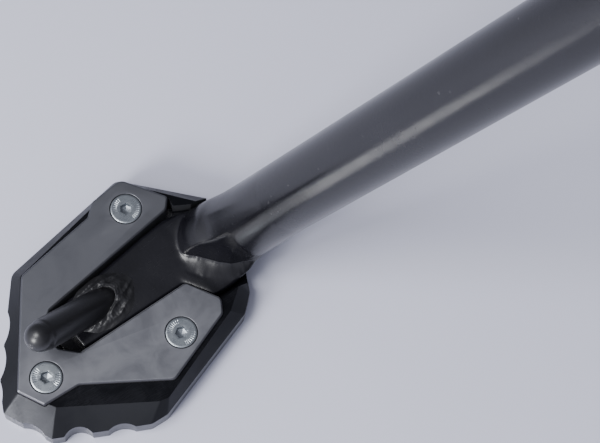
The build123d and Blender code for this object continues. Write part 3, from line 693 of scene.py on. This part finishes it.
def peg_weld():
    """Rough fillet round the peg's foot: overlapping tongues of metal, widest behind the peg."""
    stretch = 1 / PEG_AIM.z
    grid = []
    for i in range(WELD_ROUND):
        bearing = -180 + 360 * i / WELD_ROUND
        c, s = math.cos(math.radians(bearing)), math.sin(math.radians(bearing))
        behind = 0.5 - 0.5 * s
        spread = along_line(WELD_SPREAD, bearing) * (1 + 0.16 * wobble(Vector((c, s, 0)), 2.4, 5.0))
        crest = WELD_CREST * (0.45 + 0.55 * behind)
        row = []
        for k in range(WELD_ACROSS + 1):
            out = k / WELD_ACROSS * (spread + WELD_INSIDE) - WELD_INSIDE
            here = Vector((c * (PEG_R + out), s * (PEG_R * stretch + out), 0))
            rise = max(0.0, 1 - max(0.0, out) / spread)
            tongue = Vector((here.x * 0.42 + here.y * 0.10, here.y * 0.13 - here.x * 0.05, out * 0.05))
            fold = 1 - 2.4 * abs(wobble(tongue, 1.0, 7.0))
            rough = 0.62 * fold + 0.34 * wobble(here, 0.45, 8.0) + 0.16 * wobble(here, 1.3, 2.0)
            height = crest * rise ** 1.1 + (WELD_TOE + rough) * min(1.0, rise * 2.6)
            row.append(PEG_ROOT + Vector((here.x, here.y, max(-0.2, height - 0.1))))
        grid.append(row)
    top = [[row[k] for row in grid] for k in range(WELD_ACROSS, -1, -1)]
    low_rim, low_hole = ([Vector((p.x, p.y, TOE_TOP - 0.5)) for p in ring] for ring in (top[0], top[-1]))
    bm = bmesh.new()
    add_rings(bm, [low_rim, *top, low_hole], closed=True)
    finish_piece("peg_weld_bead", bm, PAD, "leg", WELD_BLACK, ["peg_weld"], sharp=180)


def fork_weld():
    ring = circle_path(Vector((0, 0, -YOKE_OUT - 0.2)), X, Y, TUBE_R + 0.1, 160)
    weld_bead("fork_weld_bead", ring, 1.6, LEG, ["fork_weld"], seed=4.0, closed=True)


POST_BEAD_R = 6.9


def spring_post_weld():
    """Bead round the leg's spring post, lying on the tube's round side."""
    ring = []
    for point in circle_path(Vector((0, 0, -POST_DOWN)), X, Z, POST_BEAD_R, 90):
        ring.append(Vector((point.x, -math.sqrt(TUBE_R ** 2 - point.x ** 2) - 0.5, point.z)))
    weld_bead("spring_post_bead", ring, 1.5, LEG, ["spring_post_weld"], seed=6.0, closed=True)


TOE_BEADS = (((-3.8, 32.0), (-0.1, 71.0)), ((20.9, 26.0), (18.6, 71.0)))
TOE_BEAD_STEPS = 90


def toe_welds():
    """Straight beads between the toe's two edges and the stock foot."""
    for index, (start, end) in enumerate(TOE_BEADS):
        a, b = Vector((*start, SHELF_Z)), Vector((*end, SHELF_Z))
        path = [a.lerp(b, i / TOE_BEAD_STEPS) for i in range(TOE_BEAD_STEPS + 1)]
        nodes = ["stock_foot_weld"] if index == 0 else []
        weld_bead(f"toe_bead_{index}", path, 0.62, PAD, nodes, seed=index + 9.0)


# ================================================================= foot screws
SCREW_FACE = PAD_TOP - 0.05      # the heads lie this high above the ground
SCREW_TURNS = (0.35, 1.1, 0.2)   # radians
SCREW_SEGMENTS = 144
SOCKET_CORNER = SOCKET_AF / 2 / math.cos(math.pi / 6)
SHANK_R, SHANK_LOW = 2.95, 2.6   # the shank and its end above the ground
TICK_DEPTH, TICKS_ROUND, TICK_SECTOR = 0.12, 36, 0.25
# from the socket's bottom out over the face and down to the shank's end: outline, radius, height.
# A socket's radius is a share of its hexagon; the lip runs between the hexagon and a circle round it.
SCREW_STATIONS = (
    ("socket", 0.2, -SOCKET_DEPTH), ("socket", 1.0, 0.35 - SOCKET_DEPTH), ("socket", 1.0, -0.25),
    ("socket", 1.06, -0.02), ("lip", SOCKET_CORNER + 0.45, 0.0), ("round", SOCKET_CORNER + 0.9, 0.0),
    ("round", 3.5, 0.0), ("tick", 3.9, 0.0), ("tick", 4.4, 0.0), ("tick", 4.9, 0.0), ("round", 5.2, 0.0),
    ("round", 5.75, 0.0), ("round", 5.93, -0.1), ("round", SCREW_HEAD_R, -0.3), ("round", SHANK_R, -3.35),
    ("round", SHANK_R, SHANK_LOW - SCREW_FACE),
)


def screw_point(outline, radius, height, angle, turn):
    hexagon = SOCKET_AF / 2 / math.cos((angle - turn) % (math.pi / 3) - math.pi / 6)
    if outline == "socket":
        radius *= hexagon
    elif outline == "lip":
        radius = (hexagon + radius) / 2
    elif outline == "tick" and math.sin(angle * 2 + turn) > TICK_SECTOR:
        height -= TICK_DEPTH * max(0.0, math.cos(angle * TICKS_ROUND))
    return Vector((radius * math.cos(angle), radius * math.sin(angle), height))


def clamp_screws():
    """Countersunk heads with a rim, generic ticks round it, and a hexagon socket."""
    angles = [2 * math.pi * k / SCREW_SEGMENTS for k in range(SCREW_SEGMENTS)]
    for index, ((x, y), turn) in enumerate(zip(SCREWS, SCREW_TURNS)):
        rings = [[screw_point(*station, angle, turn) for angle in angles] for station in SCREW_STATIONS]
        bm = bmesh.new()
        add_rings(bm, rings)
        place = PAD @ Matrix.Translation((x, y, SCREW_FACE))
        nodes = ["clamp_screws"] if index == 0 else []
        finish_piece(f"clamp_screw_{index}", bm, place, "leg", ZINC, nodes, 30, flat_faces=True)


# ================================================================= springs
COIL_PITCH, PER_TURN = 1.06, 14      # wire diameters from turn to turn, and points to a turn
EYE_START, EYE_BEND, EYE_STEPS = -90.0, 300.0, 16   # degrees
WIRE_SIDES = 14


def spring_path(wire_r, coil_r, hook, coil_clear):
    """Centreline of a closed-wound tension spring with a hook at each end, from top to bottom."""
    top, bottom = -coil_clear - wire_r, -SPRING_LENGTH + coil_clear + wire_r
    turns = round((top - bottom) / (wire_r * 2 * COIL_PITCH))
    eye_r = POST_R + HOOK_GAP + wire_r
    side = 1 if hook > 0 else -1

    def hook_points(end, level):
        """From the coil out to the eye, level -1 above the coil and 1 below it."""
        eye = []
        for i in range(EYE_STEPS + 1):
            angle = math.radians(EYE_START + EYE_BEND * i / EYE_STEPS)
            eye.append(Vector((eye_r * math.cos(angle), hook, end - level * eye_r * math.sin(angle))))
        neck = [
            Vector((0.0, hook + side * coil_r * 0.30, end + level * (coil_clear - wire_r * 0.2))),
            Vector((0.0, hook, end + level * (coil_clear - wire_r * 2.2))),
            Vector((0.0, hook, end + level * (eye_r + 2.0))),
        ]
        return neck + eye[1:]

    coil = []
    steps = turns * PER_TURN
    for i in range(steps + 1):
        angle = math.pi / 2 * side + 2 * math.pi * i / PER_TURN
        z = top + (bottom - top) * i / steps
        coil.append(Vector((coil_r * math.cos(angle), coil_r * math.sin(angle), z)))
    return hook_points(0.0, -1)[::-1] + coil + hook_points(-SPRING_LENGTH, 1)


def wound_spring(name, node, wire_r, coil_r, hook, coil_clear):
    shift = Vector((0, SPRING_PLANE, 0))
    path = smooth_path([point + shift for point in spring_path(wire_r, coil_r, hook, coil_clear)], 0.9)
    bm = bmesh.new()
    add_rings(bm, sweep_rings(path, lambda share, angle: wire_r, WIRE_SIDES))
    finish_piece(name, bm, SPRING, "springs", WIRE, [node], sharp=60)


def springs():
    wound_spring("outer_spring_wire", "outer_spring", OUTER_WIRE_R, OUTER_COIL_R, OUTER_HOOK, COIL_CLEAR)
    wound_spring(
        "inner_spring_wire", "inner_spring", INNER_WIRE_R, INNER_COIL_R, INNER_HOOK, COIL_CLEAR + INNER_SHORT
    )


# ================================================================= hard parts
def hard_parts():
    """Turned, cast and milled parts: the CAD shape with its edges broken."""
    parts = (
        ("base_plate", "leg", "anodised_black", BASE_BLACK, 0.45),
        ("clamp_plate", "leg", "anodised_grey", CLAMP_GREY, 0.22),
        ("stock_foot", "leg", "painted_steel", LEG_BLACK, 0.4),
        ("leg_fork", "leg", "painted_steel", CAST_BLACK, 1.0),
        ("leg_spring_post", "leg", "zinc_steel", ZINC, 0.3),
        ("switch_rotor", "leg", "black_plastic", PLASTIC, 0.4),
        ("frame_bracket", "bracket", "painted_steel", CAST_BLACK, 0.9),
        ("bracket_spring_post", "bracket", "zinc_steel", ZINC, 0.3),
        ("rest_bumper", "bracket", "black_rubber", RUBBER, 0.3),
        ("pivot_bolt", "bracket", "zinc_steel", ZINC, 0.3),
        ("pivot_nut", "bracket", "zinc_steel", ZINC, 0.3),
        ("switch_body", "bracket", "black_plastic", PLASTIC, 0.5),
        ("switch_screw", "bracket", "zinc_steel", ZINC, 0.25),
        ("pivot_bushes", "bracket", "bronze", BRONZE, 0.15),
        ("pivot_seals", "bracket", "black_rubber", RUBBER, 0.15),
    )
    for node, body, slot, material, width in parts:
        softened(node, body, material, width)


# ================================================================= stage
CAMERA_FROM_FOOT = Vector((-0.16328, 0.13108, 0.5840))   # metres
CAMERA_AZIMUTH, CAMERA_ELEVATION, CAMERA_ROLL = 224.53, 69.63, 13.136
LENS_MM, SENSOR_MM = 96.0, 36.0
FLOOR_HALF, FLOOR_CELLS = 3.0, 24    # metres from its middle to its edges


def camera():
    azimuth, elevation = math.radians(CAMERA_AZIMUTH), math.radians(CAMERA_ELEVATION)
    back = Vector((
        math.sin(azimuth) * math.cos(elevation), -math.cos(azimuth) * math.cos(elevation), math.sin(elevation)
    ))
    data = bpy.data.cameras.new("camera")
    data.lens, data.sensor_width = LENS_MM, SENSOR_MM
    data.clip_start, data.clip_end = 0.02, 20
    view = bpy.data.objects.new("camera", data)
    bpy.context.scene.collection.objects.link(view)
    level = (-back).to_track_quat("-Z", "Y").to_matrix()
    roll = Matrix.Rotation(math.radians(CAMERA_ROLL), 3, "Z")
    view.matrix_world = Matrix.Translation(FOOT + CAMERA_FROM_FOOT) @ (level @ roll).to_4x4()
    bpy.context.scene.camera = view


def floor():
    bm = bmesh.new()
    bmesh.ops.create_grid(bm, x_segments=FLOOR_CELLS, y_segments=FLOOR_CELLS, size=FLOOR_HALF)
    bmesh.ops.translate(bm, vec=(FOOT.x, FOOT.y, GROUND_Z), verts=bm.verts)
    mesh = bpy.data.meshes.new("floor")
    bm.to_mesh(mesh)
    bm.free()
    plane = bpy.data.objects.new("floor", mesh)
    bpy.context.scene.collection.objects.link(plane)
    mesh.materials.append(floor_paper())


def panel(name, bearing, elevation, distance, size, watts):
    """Soft square lamp aimed at the foot, in degrees and metres; bearing 0 is forward and 90 outboard."""
    a, e = math.radians(bearing), math.radians(elevation)
    out = Vector((math.cos(a) * math.cos(e), math.sin(a) * math.cos(e), math.sin(e)))
    data = bpy.data.lights.new(name, "AREA")
    data.shape = "SQUARE"
    data.size = size
    data.energy = watts
    lamp = bpy.data.objects.new(name, data)
    bpy.context.scene.collection.objects.link(lamp)
    lamp.location = FOOT + out * distance
    lamp.rotation_mode = "QUATERNION"
    lamp.rotation_quaternion = (-out).to_track_quat("-Z", "Y")


WALL_TOWARDS = (-0.157, 0.893, 0.423)
WALL_COLOUR, ROOM_COLOUR = (1.05, 1.07, 1.22), (0.17, 0.175, 0.205)


def studio():
    """Dim room with one pale wall outboard of the stand, and two soft lamps."""
    world = bpy.data.worlds.new("studio")
    bpy.context.scene.world = world
    world.use_nodes = True
    tree = world.node_tree
    background = tree.nodes["Background"]
    place = tree.nodes.new("ShaderNodeTexCoord")
    toward = tree.nodes.new("ShaderNodeVectorMath")
    toward.operation = "DOT_PRODUCT"
    toward.inputs[1].default_value = WALL_TOWARDS
    link(tree, place.outputs["Generated"], toward.inputs[0])
    share = ranged(tree, toward.outputs["Value"], 0.1, 1.0, 0.0, 1.0)
    link(tree, mixed(tree, share, ROOM_COLOUR, WALL_COLOUR), background.inputs["Color"])
    background.inputs["Strength"].default_value = 1.0
    panel("window", bearing=101, elevation=28, distance=1.4, size=0.42, watts=19.5)
    panel("overhead", bearing=74, elevation=63, distance=1.5, size=0.6, watts=15.5)


leg_tube()
foot_peg()
peg_weld()
fork_weld()
spring_post_weld()
toe_welds()
clamp_screws()
springs()
hard_parts()
camera()
floor()
studio()
